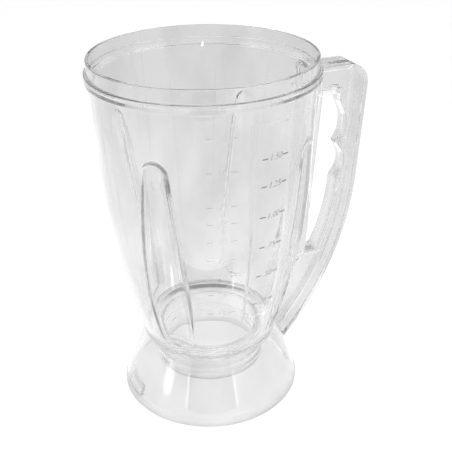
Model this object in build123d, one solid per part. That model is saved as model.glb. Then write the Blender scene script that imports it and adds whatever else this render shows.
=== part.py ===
from build123d import *
import os
from math import atan2, degrees, hypot, radians, tan

# Blender jar, moulded in one piece of clear plastic, without its lid and blade unit.
# Millimetres, +Z up. The origin is on the jar's axis, in the plane that it stands on. The handle points along +X.

# Body wall, a curve from the waist up to the shoulder under the bead
WALL = 2.6
WAIST_RADIUS = 44.3
WAIST_HEIGHT = 45.6
WAIST_BLEND = 1.5        # rounding of the valley between body and skirt
KNEE_HEIGHT = 157.2      # where the curve turns into the straight upper wall
SHOULDER_RADIUS = 65.9
SHOULDER_HEIGHT = 213.0
SHOULDER_LEAN = 0.0354   # outward run of the upper wall for each millimetre of rise

# Bead and rim band at the mouth
BEAD_PROUD = 2.3         # beyond the shoulder
BEAD_TALL = 5.4
RIM_PROUD = 0.6          # rim band beyond the shoulder
RIM_TALL = 7.6           # above the bead
RIM_WALL = 2.1
LEDGE_TALL = 3.4         # slope of the lid's ledge inside
MOUTH_ROUND = 0.7        # rounding of the lip and the bead

# Flutes pressed into the wall
FLUTE_COUNT = 4
FLUTE_TURN = 45.0        # first flute, in degrees from the handle
FLUTE_TOP_RADIUS = 6.0
FLUTE_FOOT_RADIUS = 20.0
FLUTE_TOP_HEIGHT = 176.0  # centre of the rounded top end
FLUTE_TOP_DEPTH = 6.0
FLUTE_FOOT_DEPTH = 2.0   # into the waist

# Floor ring and the collar that takes the blade unit
FLOOR_HEIGHT = 47.0
FLOOR_THICKNESS = 4.6
FLOOR_LEDGE = 3.6        # level ring between the wall's foot and the funnel
FLOOR_FALL = 2.2         # fall of the funnel towards the bore
FLOOR_BLEND = 3.2
BORE_RADIUS = 31.0
COLLAR_WALL = 4.0
COLLAR_DROP = 23.4       # below the floor's underside

# Skirt that stands on the motor base
FOOT_RADIUS = 59.7
SKIRT_WALL = 2.8
LAND_TALL = 2.0          # upright land inside the foot
FOOT_ROUND = 0.8
LUG_COUNT = 2
LUG_WIDTH = 28.0         # along the skirt's curve
LUG_TALL = 6.5
LUG_DEPTH = 3.0
LUG_RAISE = 2.5          # lower edge above the foot

# Handle, drawn in the XZ plane
ARM_DROP = 1.5           # arm's top face below the shoulder
ARM_TALL = 19.2          # from there to the finger window
HANDLE_LEAN = 0.0604     # inward run of its straight upper half for each millimetre of drop
HANDLE_KNEE_HEIGHT = 138.2  # where it starts to bend towards its foot
HANDLE_CORNER = 13.0
HANDLE_FOOT_RADIUS = 49.9
HANDLE_FOOT_HEIGHT = 18.5
FLANGE_WIDTH = 20.0
FLANGE_THICKNESS = 3.2
FLANGE_ROUND = 1.0
WEB_THICKNESS = 5.0

# Finger window in the handle and the flange round it
PAD_PROUD = 6.8          # root pad's face at the window's top, beyond the shoulder
PAD_INSET = 7.7          # how much nearer to the axis it is at the window's foot
PAD_RUNOUT = 22.0        # below the window's foot, where the pad meets the body
WINDOW_TALL = 108.3
WINDOW_TOP_WIDTH = 14.7
WINDOW_FOOT_WIDTH = 10.0
WINDOW_ROUND = 3.0
FINGER_DROP = 6.3        # first finger hollow below the window's top
FIRST_FINGER = 28.3      # lengths of the two hollows along the grip
SECOND_FINGER = 23.2
FINGER_DEPTH = 5.0
BUMP_ROUND = 2.2
GRIP_BELLY = 2.6         # bulge of the grip's lower edge beside a straight line
GRIP_DEPTH = 12.1        # from a hollow to the handle's outer face
GRIP_WIDTH = 12.0
GRIP_THICKNESS = 3.4

# Places that follow from the sizes above
BEAD_TOP = SHOULDER_HEIGHT + BEAD_TALL
JAR_HEIGHT = BEAD_TOP + RIM_TALL
RIM_RADIUS = SHOULDER_RADIUS + RIM_PROUD
BEAD_RADIUS = SHOULDER_RADIUS + BEAD_PROUD
FLOOR_UNDERSIDE = FLOOR_HEIGHT - FLOOR_THICKNESS
COLLAR_FOOT = FLOOR_UNDERSIDE - COLLAR_DROP
COLLAR_RADIUS = BORE_RADIUS + COLLAR_WALL
SKIRT_SLOPE = (FOOT_RADIUS - WAIST_RADIUS) / WAIST_HEIGHT
ARM_TOP = SHOULDER_HEIGHT - ARM_DROP
WINDOW_TOP = ARM_TOP - ARM_TALL
WINDOW_FOOT = WINDOW_TOP - WINDOW_TALL
PAD_REACH = SHOULDER_RADIUS + PAD_PROUD
PAD_FOOT_REACH = PAD_REACH - PAD_INSET
GRIP_REACH = PAD_REACH + WINDOW_TOP_WIDTH  # grip's edge between the finger hollows
GRIP_FOOT_REACH = PAD_FOOT_REACH + WINDOW_FOOT_WIDTH
HOLLOW_REACH = GRIP_REACH + FINGER_DEPTH
HANDLE_REACH = HOLLOW_REACH + GRIP_DEPTH   # outer face at the top, before the corner is rounded
FINGER_TOP = WINDOW_TOP - FINGER_DROP
FINGER_BUMP = FINGER_TOP - FIRST_FINGER
FINGER_FOOT = FINGER_BUMP - SECOND_FINGER
ROOT_RADIUS = (WAIST_RADIUS + COLLAR_RADIUS) / 2  # the handle is drawn from inside the jar, and cut away there
OVERCUT = 5.0            # how far cutters reach past the faces that they open


def skirt_inside(height):
    """Inner radius of the skirt's cone at a height above the foot."""
    return FOOT_RADIUS - SKIRT_WALL - SKIRT_SLOPE * height


def wall_curve(inset, foot_height):
    """The body wall set in by a thickness: straight down from the shoulder, then an arc to a foot height."""
    foot = Vector(WAIST_RADIUS - inset, 0, foot_height)
    shoulder = Vector(SHOULDER_RADIUS - inset, 0, SHOULDER_HEIGHT)
    drop = Vector(-SHOULDER_LEAN, 0, -1)
    knee = shoulder + drop * (SHOULDER_HEIGHT - KNEE_HEIGHT)
    return Line(shoulder, knee).edges() + TangentArc(knee, foot, tangent=drop).edges()


def corners_at(face, places):
    """The vertices of a face that lie at the given radius and height pairs."""
    return [v for r, z in places for v in face.vertices() if hypot(v.X - r, v.Z - z) < 1e-4]


def outer_form():
    """Outer shape of body, bead, rim band and skirt, filled to the axis."""
    waist = (WAIST_RADIUS, 0, WAIST_HEIGHT)
    mouth = Polyline(
        (SHOULDER_RADIUS, 0, SHOULDER_HEIGHT),
        (BEAD_RADIUS, 0, SHOULDER_HEIGHT),
        (BEAD_RADIUS, 0, BEAD_TOP),
        (RIM_RADIUS, 0, BEAD_TOP),
        (RIM_RADIUS, 0, JAR_HEIGHT),
        (0, 0, JAR_HEIGHT),
        (0, 0, 0),
        (FOOT_RADIUS, 0, 0),
        waist,
    )
    face = make_face(mouth.edges() + wall_curve(0, WAIST_HEIGHT))
    face = fillet(corners_at(face, [(WAIST_RADIUS, WAIST_HEIGHT)]), WAIST_BLEND)
    rounded = [(BEAD_RADIUS, SHOULDER_HEIGHT), (BEAD_RADIUS, BEAD_TOP), (RIM_RADIUS, JAR_HEIGHT)]
    face = fillet(corners_at(face, rounded), min(MOUTH_ROUND, RIM_WALL / 3))
    face = fillet(corners_at(face, [(FOOT_RADIUS, 0)]), FOOT_ROUND)
    return revolve(face, Axis.Z)


def cavity_form():
    """Space inside the jar, from the mouth down through the collar's bore."""
    wall_foot = WAIST_RADIUS - WALL
    mouth_radius = RIM_RADIUS - RIM_WALL
    outline = Polyline(
        (SHOULDER_RADIUS - WALL, 0, SHOULDER_HEIGHT),
        (mouth_radius, 0, SHOULDER_HEIGHT + LEDGE_TALL),
        (mouth_radius, 0, JAR_HEIGHT + OVERCUT),
        (0, 0, JAR_HEIGHT + OVERCUT),
        (0, 0, COLLAR_FOOT - OVERCUT),
        (BORE_RADIUS, 0, COLLAR_FOOT - OVERCUT),
        (BORE_RADIUS, 0, FLOOR_HEIGHT - FLOOR_FALL),
        (wall_foot - FLOOR_LEDGE, 0, FLOOR_HEIGHT),
        (wall_foot, 0, FLOOR_HEIGHT),
    )
    face = make_face(outline.edges() + wall_curve(WALL, FLOOR_HEIGHT))
    face = fillet(corners_at(face, [(wall_foot, FLOOR_HEIGHT)]), FLOOR_BLEND)
    return revolve(face, Axis.Z)


def underside_form():
    """Space inside the skirt, round and below the collar, less the lugs on the skirt's wall."""
    land_radius = skirt_inside(LAND_TALL)
    outline = Polyline(
        (0, 0, -OVERCUT),
        (land_radius, 0, -OVERCUT),
        (land_radius, 0, LAND_TALL),
        (skirt_inside(FLOOR_UNDERSIDE), 0, FLOOR_UNDERSIDE),
        (COLLAR_RADIUS, 0, FLOOR_UNDERSIDE),
        (COLLAR_RADIUS, 0, COLLAR_FOOT),
        (0, 0, COLLAR_FOOT),
        close=True,
    )
    space = revolve(make_face(outline), Axis.Z)
    low, high = LUG_RAISE, LUG_RAISE + LUG_TALL
    lug_outline = Polyline(
        (skirt_inside(low) - LUG_DEPTH, 0, low),
        (skirt_inside(low) + OVERCUT, 0, low),
        (skirt_inside(high) + OVERCUT, 0, high),
        (skirt_inside(high) - LUG_DEPTH, 0, high),
        close=True,
    )
    lug_turn = degrees(LUG_WIDTH / skirt_inside(low))
    lug = Rot(0, 0, -lug_turn / 2) * revolve(make_face(lug_outline), Axis.Z, lug_turn)
    for index in range(LUG_COUNT):
        space -= Rot(0, 0, index * 360 / LUG_COUNT) * lug
    return space


def flutes(growth):
    """Four tapered, round-ended flutes, each grown by a wall thickness."""
    wall = Wire(wall_curve(0, WAIST_HEIGHT))
    top_wall = wall.intersect(Plane.XY.offset(FLUTE_TOP_HEIGHT))[0].X
    top_centre = top_wall - FLUTE_TOP_DEPTH + FLUTE_TOP_RADIUS
    foot_centre = WAIST_RADIUS - FLUTE_FOOT_DEPTH + FLUTE_FOOT_RADIUS
    rise = FLUTE_TOP_HEIGHT - WAIST_HEIGHT
    length = hypot(rise, top_centre - foot_centre)
    tilt = degrees(atan2(top_centre - foot_centre, rise))
    foot = FLUTE_FOOT_RADIUS + growth
    tip = FLUTE_TOP_RADIUS + growth
    trunk = Polyline((0, length + tip), (0, 0), (foot, 0), (tip, length))
    cap = CenterArc((0, length), tip, 0, 90)
    flute = revolve(Plane.XZ * make_face(trunk.edges() + cap.edges()), Axis.Z)
    flute = Pos(foot_centre, 0, WAIST_HEIGHT) * Rot(0, tilt, 0) * flute
    turns = [FLUTE_TURN + index * 360 / FLUTE_COUNT for index in range(FLUTE_COUNT)]
    return [Rot(0, 0, turn) * flute for turn in turns]


def handle_edge(inset):
    """The handle's outer edge set in by a thickness, from inside the jar along the arm and down to the foot."""
    drop = Vector(-HANDLE_LEAN, 0, -1).normalized()
    inward = Vector(-1, 0, HANDLE_LEAN).normalized()
    knee = Vector(HANDLE_REACH - HANDLE_LEAN * (ARM_TOP - HANDLE_KNEE_HEIGHT), 0, HANDLE_KNEE_HEIGHT)
    foot = Vector(HANDLE_FOOT_RADIUS, 0, HANDLE_FOOT_HEIGHT)
    bend = TangentArc(knee, foot, tangent=drop).edge()
    foot += (bend.arc_center - foot).normalized() * inset
    knee += inward * inset
    corner = knee + drop * ((ARM_TOP - inset - knee.Z) / drop.Z)
    along = Vector(1, 0, 0)
    cut = (HANDLE_CORNER - inset) * tan(radians(along.get_angle(drop)) / 2)
    arm_end = corner - along * cut
    corner_end = corner + drop * cut
    return [
        Line((ROOT_RADIUS, 0, corner.Z), arm_end).edge(),
        TangentArc(arm_end, corner_end, tangent=along).edge(),
        Line(corner_end, knee).edge(),
        TangentArc(knee, foot, tangent=drop).edge(),
    ]


def window_face():
    """The finger window, with two hollows in the grip's edge."""
    belly = ((GRIP_REACH + GRIP_FOOT_REACH) / 2 + GRIP_BELLY, 0, (FINGER_FOOT + WINDOW_FOOT) / 2)
    sides = Polyline(
        (GRIP_FOOT_REACH, 0, WINDOW_FOOT),
        (PAD_FOOT_REACH, 0, WINDOW_FOOT),
        (PAD_REACH, 0, WINDOW_TOP),
        (GRIP_REACH, 0, WINDOW_TOP),
        (GRIP_REACH, 0, FINGER_TOP),
    )
    first = ThreePointArc(
        (GRIP_REACH, 0, FINGER_TOP),
        (HOLLOW_REACH, 0, (FINGER_TOP + FINGER_BUMP) / 2),
        (GRIP_REACH, 0, FINGER_BUMP),
    )
    second = ThreePointArc(
        (GRIP_REACH, 0, FINGER_BUMP),
        (HOLLOW_REACH, 0, (FINGER_BUMP + FINGER_FOOT) / 2),
        (GRIP_REACH, 0, FINGER_FOOT),
    )
    lower = ThreePointArc((GRIP_REACH, 0, FINGER_FOOT), belly, (GRIP_FOOT_REACH, 0, WINDOW_FOOT))
    face = make_face(sides.edges() + first.edges() + second.edges() + lower.edges())
    ends = [
        (PAD_FOOT_REACH, WINDOW_FOOT),
        (GRIP_FOOT_REACH, WINDOW_FOOT),
        (PAD_REACH, WINDOW_TOP),
        (GRIP_REACH, WINDOW_TOP),
    ]
    face = fillet(corners_at(face, ends), WINDOW_ROUND)
    knuckles = [(GRIP_REACH, FINGER_TOP), (GRIP_REACH, FINGER_BUMP), (GRIP_REACH, FINGER_FOOT)]
    return fillet(corners_at(face, knuckles), BUMP_ROUND)


def slab(face, width):
    """A face of the handle's plane made into a slab of a width."""
    return extrude(face, width / 2, dir=(0, 1, 0), both=True)


def handle():
    """Handle of one web, an outer flange, a grip flange round the window, and the root pad."""
    edge = handle_edge(0)
    foot = (HANDLE_FOOT_RADIUS, 0, HANDLE_FOOT_HEIGHT)
    root = Polyline(foot, (ROOT_RADIUS, 0, HANDLE_FOOT_HEIGHT), (ROOT_RADIUS, 0, ARM_TOP))
    outline = make_face(edge + root.edges())
    window = window_face()
    flange_path = Wire(handle_edge(FLANGE_THICKNESS / 2))
    flange_start = Plane(flange_path @ 0, x_dir=(0, 0, 1), z_dir=(1, 0, 0))
    flange = sweep(flange_start * RectangleRounded(FLANGE_THICKNESS, FLANGE_WIDTH, FLANGE_ROUND), flange_path)
    grip = slab(offset(window, GRIP_THICKNESS) - window, GRIP_WIDTH)
    pad_foot = WINDOW_FOOT - PAD_RUNOUT
    pad_outline = Polyline(
        (ROOT_RADIUS, 0, pad_foot),
        (WAIST_RADIUS, 0, pad_foot),
        (PAD_FOOT_REACH, 0, WINDOW_FOOT),
        (PAD_REACH, 0, WINDOW_TOP),
        (PAD_REACH, 0, ARM_TOP - FLANGE_THICKNESS),
        (ROOT_RADIUS, 0, ARM_TOP - FLANGE_THICKNESS),
        close=True,
    )
    pad = slab(make_face(pad_outline), FLANGE_WIDTH)
    web = slab(outline - window, WEB_THICKNESS)
    return web + flange + grip + pad


def jar():
    """The whole moulding."""
    form = outer_form()
    cavity = cavity_form()
    for groove, rib in zip(flutes(0), flutes(WALL)):
        form -= groove
        cavity -= rib
    form += handle()
    return form - cavity - underside_form()


os.makedirs("parts", exist_ok=True)
export_step(jar(), "parts/jar.step")
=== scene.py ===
import logging
import math
from dataclasses import dataclass
from enum import Enum, auto
from typing import Iterable, Sequence

import bmesh
import bpy
import numpy as np
from mathutils import Matrix, Vector
from mathutils.geometry import tessellate_polygon


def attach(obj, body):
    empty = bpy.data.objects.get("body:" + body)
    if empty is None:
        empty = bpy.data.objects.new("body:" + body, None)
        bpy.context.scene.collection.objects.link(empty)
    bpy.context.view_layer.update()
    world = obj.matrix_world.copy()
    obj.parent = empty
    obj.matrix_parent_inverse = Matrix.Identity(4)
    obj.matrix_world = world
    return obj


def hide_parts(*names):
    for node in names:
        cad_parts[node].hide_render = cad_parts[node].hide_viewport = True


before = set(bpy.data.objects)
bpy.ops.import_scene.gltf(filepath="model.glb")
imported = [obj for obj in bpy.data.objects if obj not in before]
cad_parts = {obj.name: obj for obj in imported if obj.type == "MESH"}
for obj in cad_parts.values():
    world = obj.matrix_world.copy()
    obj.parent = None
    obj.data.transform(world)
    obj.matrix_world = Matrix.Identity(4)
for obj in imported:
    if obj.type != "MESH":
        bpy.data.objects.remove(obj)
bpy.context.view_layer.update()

# Blender jar in one piece of clear moulded plastic. Metres, +Z up, handle along +X, as in the frame.

LOG = logging.getLogger("blender_jar")
BODY = "root"
NODE = "jar"
EDGE_STEPS = 3
LEAST_LOOP_POINTS = 8
ROUNDING = 1e-9
FULL_TURN = 2.0 * math.pi
SMOOTH_ANGLE = math.radians(38.0)
LIGHT_BOUNCES = 64


class Zone(Enum):
    """What a row of the jar's section follows besides its own radius."""

    PLAIN = auto()
    OUTSIDE = auto()
    INSIDE = auto()
    THREAD = auto()


# Plane geometry


def unit(vector: np.ndarray) -> np.ndarray:
    """The vector at length one."""
    return vector / np.linalg.norm(vector)


def smooth_step(value: np.ndarray, low: float, high: float) -> np.ndarray:
    """A soft ramp from 0 at low to 1 at high.

    Args:
        value: Where to read the ramp.
        low: Where the ramp starts.
        high: Where it ends.

    Returns:
        The ramp's value, between 0 and 1.
    """
    share = np.clip((value - low) / (high - low), 0.0, 1.0)
    return share * share * (3.0 - 2.0 * share)


def soft_minimum(first: np.ndarray, second: np.ndarray, blend: float) -> np.ndarray:
    """The smaller of two values, with the crease where they cross rounded.

    Args:
        first: One set of values.
        second: The other.
        blend: How far from the crossing the rounding reaches.

    Returns:
        The rounded minimum.
    """
    near = np.clip(1.0 - np.abs(first - second) / blend, 0.0, None)
    return np.minimum(first, second) - near * near * blend / 4.0


def tangent_arc(start: np.ndarray, end: np.ndarray, heading: np.ndarray, steps: int) -> np.ndarray:
    """Points along the arc that leaves a start in a heading and ends at an end.

    Args:
        start: First point.
        end: Last point.
        heading: Direction of travel at the start.
        steps: How many spans the arc has.

    Returns:
        The arc's points, start and end among them.
    """
    heading = unit(heading)
    side = np.array([heading[1], -heading[0]])
    chord = end - start
    radius = (chord @ chord) / (2.0 * (chord @ side))
    centre = start + side * radius
    turn = 2.0 * math.atan2(chord @ side, chord @ heading)
    angles = np.linspace(0.0, turn, steps + 1)
    return centre + radius * (np.outer(np.sin(angles), heading) - np.outer(np.cos(angles), side))


def arc_through(start: np.ndarray, middle: np.ndarray, end: np.ndarray, steps: int) -> np.ndarray:
    """Points along the arc through three points.

    Args:
        start: First point.
        middle: A point on the arc.
        end: Last point.
        steps: How many spans the arc has.

    Returns:
        The arc's points, start and end among them.
    """
    rows = 2.0 * np.array([middle - start, end - start])
    sums = np.array([middle @ middle - start @ start, end @ end - start @ start])
    centre = np.linalg.solve(rows, sums)
    spoke = start - centre
    across = np.array([-spoke[1], spoke[0]])
    to_middle = math.atan2((middle - centre) @ across, (middle - centre) @ spoke) % FULL_TURN
    to_end = math.atan2((end - centre) @ across, (end - centre) @ spoke) % FULL_TURN
    if to_middle > to_end:
        to_end -= FULL_TURN
    angles = np.linspace(0.0, to_end, steps + 1)
    return centre + np.outer(np.cos(angles), spoke) + np.outer(np.sin(angles), across)


def rounded_run(corners: Sequence[tuple[float, float, float]], steps: int) -> np.ndarray:
    """An open path through corners, each rounded by its own radius.

    Args:
        corners: Two coordinates and a radius for each corner. The two ends have no rounding.
        steps: How many spans each rounding has.

    Returns:
        The path's points.
    """
    places = [np.array(corner[:2]) for corner in corners]
    path = [places[0]]
    for index in range(1, len(corners) - 1):
        here, radius = places[index], corners[index][2]
        back, ahead = unit(places[index - 1] - here), unit(places[index + 1] - here)
        half = math.acos(np.clip(back @ ahead, -1.0, 1.0)) / 2.0
        cut = radius / math.tan(half)
        path.extend(tangent_arc(here + back * cut, here + ahead * cut, -back, steps))
    path.append(places[-1])
    return np.array(path)


def even_loop(points: np.ndarray, spacing: float, soften: float) -> np.ndarray:
    """A closed outline with evenly spaced points and its corners softened.

    Args:
        points: The outline's points, without the first one again at the end.
        spacing: Distance between the new points.
        soften: Reach of the softening along the outline.

    Returns:
        The new outline.
    """
    closed = np.vstack([points, points[:1]])
    travel = np.concatenate([[0.0], np.cumsum(np.linalg.norm(np.diff(closed, axis=0), axis=1))])
    count = max(LEAST_LOOP_POINTS, round(travel[-1] / spacing))
    places = np.arange(count) * travel[-1] / count
    even = np.column_stack([np.interp(places, travel, closed[:, axis]) for axis in (0, 1)])
    offsets = np.minimum(places, travel[-1] - places)
    weights = np.exp(-0.5 * (offsets / soften) ** 2)
    spectrum = np.fft.rfft(weights / weights.sum())
    smooth = [np.fft.irfft(np.fft.rfft(even[:, axis]) * spectrum, count) for axis in (0, 1)]
    return np.column_stack(smooth)


# Mesh helpers


def new_object(name: str, mesh: bpy.types.Mesh, material: bpy.types.Material) -> bpy.types.Object:
    """An object with a mesh in a finish, linked to the scene.

    Args:
        name: The object's name.
        mesh: Its mesh.
        material: Its finish.

    Returns:
        The object.
    """
    mesh.materials.append(material)
    piece = bpy.data.objects.new(name, mesh)
    bpy.context.scene.collection.objects.link(piece)
    return piece


def mesh_from(name: str, points: np.ndarray, faces: Iterable[Sequence[int]]) -> bpy.types.Mesh:
    """A mesh with its faces turned outwards.

    Args:
        name: The mesh's name.
        points: Corner places, one row each.
        faces: Corner numbers of each face.

    Returns:
        The mesh.
    """
    mesh = bpy.data.meshes.new(name)
    mesh.from_pydata([tuple(point) for point in points], [], [tuple(face) for face in faces])
    work = bmesh.new()
    work.from_mesh(mesh)
    bmesh.ops.recalc_face_normals(work, faces=work.faces)
    work.to_mesh(mesh)
    work.free()
    return mesh


def rounded_slab(
    name: str,
    loops: Sequence[np.ndarray],
    width: float,
    edge: float,
    material: bpy.types.Material,
    spans: int = 1,
) -> bpy.types.Object:
    """A slab across the handle's plane with its outline's edges rounded.

    Args:
        name: The new object's name.
        loops: The outline, then any holes, as points in X and Z.
        width: Thickness along Y.
        edge: Radius of the rounded edges.
        material: Its finish.
        spans: How many spans its straight sides have.

    Returns:
        The slab's object.
    """
    turns = np.linspace(0.0, math.pi / 2.0, EDGE_STEPS + 1)
    upper = [(edge * (1.0 - math.cos(turn)), width / 2.0 - edge + edge * math.sin(turn)) for turn in turns]
    straight = np.linspace(edge - width / 2.0, width / 2.0 - edge, spans + 1)[1:-1]
    levels = [(inset, -place) for inset, place in reversed(upper)]
    levels += [(0.0, place) for place in straight] + upper
    points: list[np.ndarray] = []
    faces: list[tuple[int, ...]] = []
    caps: list[list[Vector]] = []
    cap_numbers: list[int] = []
    for number, loop in enumerate(loops):
        ahead, behind = np.roll(loop, -1, axis=0), np.roll(loop, 1, axis=0)
        area = np.sum(loop[:, 0] * ahead[:, 1] - ahead[:, 0] * loop[:, 1])
        if (area > 0.0) != (number == 0):
            loop, ahead, behind = loop[::-1], behind[::-1], ahead[::-1]
        along = ahead - behind
        along /= np.linalg.norm(along, axis=1)[:, None]
        inward = np.column_stack([-along[:, 1], along[:, 0]])
        start, count = len(points), len(loop)
        for inset, place in levels:
            flat = loop + inward * inset
            points.extend(np.array([x, place, z]) for x, z in flat)
        for level in range(len(levels) - 1):
            for index in range(count):
                low = start + level * count + index
                next_low = start + level * count + (index + 1) % count
                faces.append((low, next_low, next_low + count, low + count))
        caps.append([Vector((x, z, 0.0)) for x, z in loop + inward * levels[-1][0]])
        cap_numbers.extend(range(start, start + count))
    last = {number: number + (len(levels) - 1) * len(loop)
            for loop, start in zip(loops, loop_starts(loops, len(levels)))
            for number in range(start, start + len(loop))}
    for triangle in tessellate_polygon(caps):
        low = tuple(cap_numbers[corner] for corner in triangle)
        faces.append(low)
        faces.append(tuple(last[corner] for corner in reversed(low)))
    return new_object(name, mesh_from(name, np.array(points), faces), material)


def loop_starts(loops: Sequence[np.ndarray], levels: int) -> list[int]:
    """Where each loop's points start in a slab's list of points."""
    sizes = [len(loop) * levels for loop in loops]
    return [sum(sizes[:index]) for index in range(len(loops))]


def fuse(base: bpy.types.Object, pieces: Iterable[bpy.types.Object]) -> None:
    """Moulds pieces onto a base, with no faces left inside, and removes them.

    Args:
        base: The object that keeps everything.
        pieces: Closed objects that reach into it.
    """
    for piece in pieces:
        union = base.modifiers.new("fuse", "BOOLEAN")
        union.operation = "UNION"
        union.solver = "MANIFOLD"
        union.material_mode = "TRANSFER"
        union.object = piece
        scene_state = bpy.context.evaluated_depsgraph_get()
        mesh = bpy.data.meshes.new_from_object(base.evaluated_get(scene_state))
        base.modifiers.remove(union)
        old = base.data
        base.data = mesh
        bpy.data.meshes.remove(old)
        bpy.data.meshes.remove(piece.data)


# The jar's body


@dataclass
class JarBody:
    """Body, mouth, floor, collar and skirt: one section turned about the axis, with flutes pressed in."""

    wall: float = 0.0026
    waist_radius: float = 0.0443
    waist_height: float = 0.0456
    waist_blend: float = 0.0015
    knee_height: float = 0.1572
    shoulder_radius: float = 0.0659
    shoulder_height: float = 0.213
    shoulder_lean: float = 0.0354
    bead_radius: float = 0.0682
    bead_top: float = 0.2184
    rim_radius: float = 0.0665
    rim_wall: float = 0.0021
    ledge_tall: float = 0.0034
    jar_height: float = 0.226
    mouth_round: float = 0.0007
    flute_count: int = 4
    flute_turn: float = math.radians(45.0)
    flute_top_radius: float = 0.006
    flute_foot_radius: float = 0.020
    flute_top_height: float = 0.176
    flute_foot_depth: float = 0.002
    flute_blend: float = 0.0015
    flute_ease: float = 0.55
    flute_ease_band: tuple[float, float] = (0.022, 0.002)
    flute_runout: float = 0.006
    floor_height: float = 0.047
    floor_fall: float = 0.0022
    floor_ledge: float = 0.0036
    floor_blend: float = 0.0032
    floor_underside: float = 0.0424
    bore_radius: float = 0.031
    collar_radius: float = 0.035
    collar_foot: float = 0.019
    thread_pitch: float = 0.0058
    thread_depth: float = 0.0004
    thread_rows: int = 22
    thread_span: tuple[float, float] = (0.002, 0.021)
    thread_gap: float = 0.001
    thread_ridge: tuple[float, float] = (-0.2, 0.75)
    thread_start: tuple[float, float] = (0.002, 0.005)
    thread_end: tuple[float, float] = (0.016, 0.020)
    foot_radius: float = 0.0597
    skirt_wall: float = 0.0028
    land_tall: float = 0.002
    foot_round: float = 0.0008
    plaque_proud: float = 0.0005
    plaque_low: float = 0.076
    plaque_high: float = 0.2040
    plaque_from: float = math.radians(-86.5)
    plaque_to: float = math.radians(-63.7)
    plaque_runout: float = math.radians(3.0)
    plaque_end: float = 0.0016
    plaque_edge: float = 0.0009
    wall_low: float = 0.051
    wall_high: float = 0.2115
    wall_steps: int = 240
    foot_band: float = 0.010
    tip_band: tuple[float, float] = (0.166, 0.1865)
    band_rows: tuple[int, ...] = (14, 38, 26, 10)
    corner_steps: int = 3
    flute_columns: int = 11
    beside_columns: int = 13
    beside_crowding: float = 1.5
    flute_least: float = math.radians(2.5)
    flute_nominal: float = math.radians(12.0)
    coarse_step: float = math.radians(2.0)
    flute_reach: float = math.radians(18.5)

    def skirt_slope(self) -> float:
        """Outward run of the skirt for each metre of drop."""
        return (self.foot_radius - self.waist_radius) / self.waist_height

    def wall_radius(
        self, height: np.ndarray, inset: float = 0.0, foot_height: float | None = None
    ) -> np.ndarray:
        """Radius of the body wall.

        Args:
            height: Where to read it.
            inset: How far inside the outer face.
            foot_height: Where the wall starts, if not at the waist.

        Returns:
            The radius at each height.
        """
        shoulder = np.array([self.shoulder_radius, self.shoulder_height])
        drop = np.array([-self.shoulder_lean, -1.0])
        knee = shoulder + drop * (self.shoulder_height - self.knee_height)
        foot = np.array([self.waist_radius, self.waist_height if foot_height is None else foot_height])
        path = np.vstack([shoulder, tangent_arc(knee, foot, drop, self.wall_steps)])[::-1]
        return np.interp(height, path[:, 1], path[:, 0]) - inset

    def outer_radius(self, height: np.ndarray) -> np.ndarray:
        """Radius of the outside without flutes, body above the waist and skirt below it."""
        skirt = self.waist_radius + self.skirt_slope() * (self.waist_height - np.asarray(height))
        return np.where(np.asarray(height) > self.waist_height, self.wall_radius(height), skirt)

    def flute_trunk(self, height: np.ndarray, growth: float) -> tuple[np.ndarray, np.ndarray]:
        """The flute's tapered, round-ended trunk at some heights.

        Args:
            height: The heights.
            growth: How much the trunk is grown all round.

        Returns:
            How far its centre lies from the axis, and its radius squared, which is negative above its end.
        """
        top_centre = float(self.wall_radius(self.flute_top_height))
        foot_centre = self.waist_radius - self.flute_foot_depth + self.flute_foot_radius
        share = (height - self.waist_height) / (self.flute_top_height - self.waist_height)
        centre = foot_centre + (top_centre - foot_centre) * share
        trunk = self.flute_foot_radius + (self.flute_top_radius - self.flute_foot_radius) * share + growth
        above = height - self.flute_top_height
        tip = self.flute_top_radius + growth
        return centre, np.where(above > 0.0, tip * tip - above * above, trunk * trunk)

    def flute_half_turn(self, radius: np.ndarray, height: np.ndarray, growth: float) -> np.ndarray:
        """Half the angle that a flute takes up on the wall, evened out beyond its ends.

        Args:
            radius: The wall's radius without flutes.
            height: Where to read it.
            growth: How much the trunk is grown all round.

        Returns:
            The angle at each height.
        """
        centre, squared = self.flute_trunk(height, growth)
        cosine = (radius * radius + centre * centre - squared) / (2.0 * radius * centre)
        turn = np.maximum(np.arccos(np.clip(cosine, -1.0, 1.0)), self.flute_least)
        tip = self.flute_top_height + self.flute_top_radius
        share = smooth_step(height, self.wall_low, self.wall_low + self.foot_band)
        share *= 1.0 - smooth_step(height, tip + growth, self.wall_high)
        return self.flute_nominal + (turn - self.flute_nominal) * share

    def groove_radius(self, angle: np.ndarray, height: np.ndarray, growth: float) -> np.ndarray:
        """Radius of the near side of the flute's tapered, round-ended trunk.

        Args:
            angle: Angles about the axis.
            height: Heights, of the same shape.
            growth: How much the trunk is grown all round.

        Returns:
            The radius. Beside and above the trunk it runs out beyond the wall.
        """
        centre, squared = self.flute_trunk(height, growth)
        spread = FULL_TURN / self.flute_count
        turn = (angle - self.flute_turn + spread / 2.0) % spread - spread / 2.0
        room = squared - (centre * np.sin(turn)) ** 2
        return centre * np.cos(turn) - np.sign(room) * np.sqrt(np.abs(room))

    def wall_heights(self) -> np.ndarray:
        """Heights of the body's rows, closer together at the flutes' ends and the plaque's edges.

        Returns:
            The heights, from the lowest row up.
        """
        ends = (self.wall_low, self.wall_low + self.foot_band, *self.tip_band, self.wall_high)
        runs = [np.linspace(low, high, rows) for low, high, rows in zip(ends, ends[1:], self.band_rows)]
        for edge in (self.plaque_low, self.plaque_high):
            runs.append(edge + np.array([-1.0, 0.0, 1.0]) * self.plaque_end / 2.0)
        return np.unique(np.concatenate(runs))

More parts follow.
